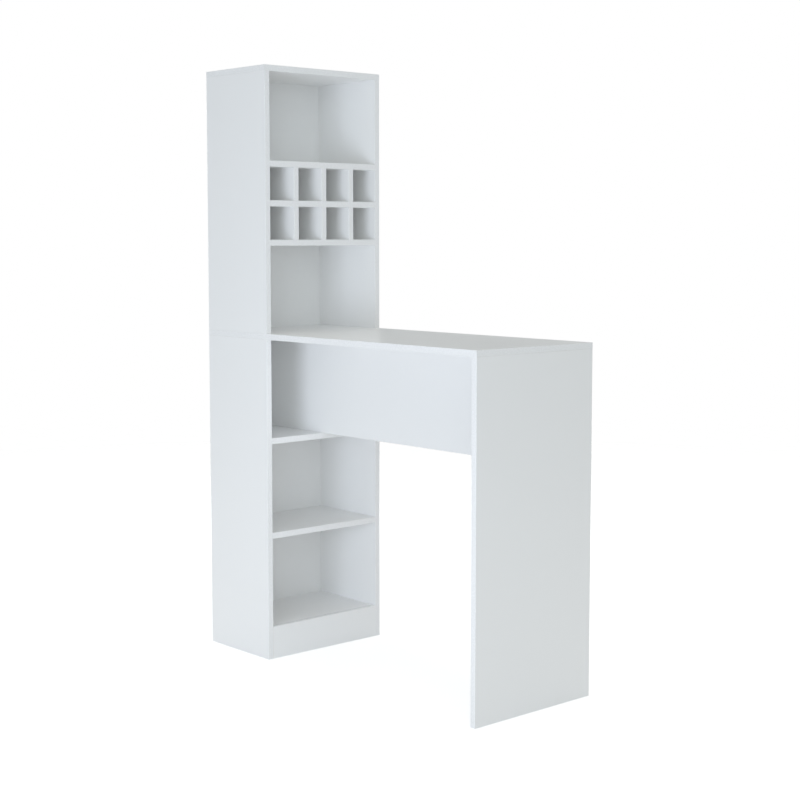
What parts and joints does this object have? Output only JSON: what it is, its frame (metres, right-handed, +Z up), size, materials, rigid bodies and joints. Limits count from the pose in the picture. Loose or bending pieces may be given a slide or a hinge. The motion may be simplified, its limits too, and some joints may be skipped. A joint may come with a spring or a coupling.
{
  "type": "bar counter with shelves",
  "caption": "White board bar counter on an end panel, running through a tall open shelf tower with bays and a bottle rack, with a modesty panel under the counter.",
  "frame": {"origin": "on the floor, at the centre of the footprint", "axes": "+X along the counter from the tower to the end panel, +Y towards the far long side, +Z up"},
  "size_m": [1.2, 0.45, 1.8005],
  "materials": {
    "white_board": "satin white melamine on chipboard, with matching edge bands",
    "white_plastic": "moulded white plastic",
    "beech": "bare turned beech",
    "zinc_cam": "die-cast zinc alloy",
    "bright_steel": "zinc-plated steel",
    "passivated_steel": "yellow-passivated steel"
  },
  "bodies": {
    "root": {"lower_side_near": "white_board", "lower_side_far": "white_board", "lower_back": "white_board", "plinth": "white_board", "bottom_shelf": "white_board", "lower_shelf": "white_board", "middle_shelf": "white_board", "countertop": "white_board", "end_panel": "white_board", "modesty_panel": "white_board", "upper_side_near": "white_board", "upper_side_far": "white_board", "upper_back": "white_board", "top_panel": "white_board", "rack_shelf_bottom": "white_board", "rack_shelf_middle": "white_board", "rack_shelf_top": "white_board", "rack_divider_lower_1": "white_board", "rack_divider_lower_2": "white_board", "rack_divider_lower_3": "white_board", "rack_divider_upper_1": "white_board", "rack_divider_upper_2": "white_board", "rack_divider_upper_3": "white_board", "cam_locks": "zinc_cam", "cam_bolts": "bright_steel", "confirmat_screws": "bright_steel", "back_screws": "passivated_steel", "cam_caps": "white_plastic", "screw_caps": "white_plastic", "wooden_dowels": "beech"}
  },
  "joints": []
}
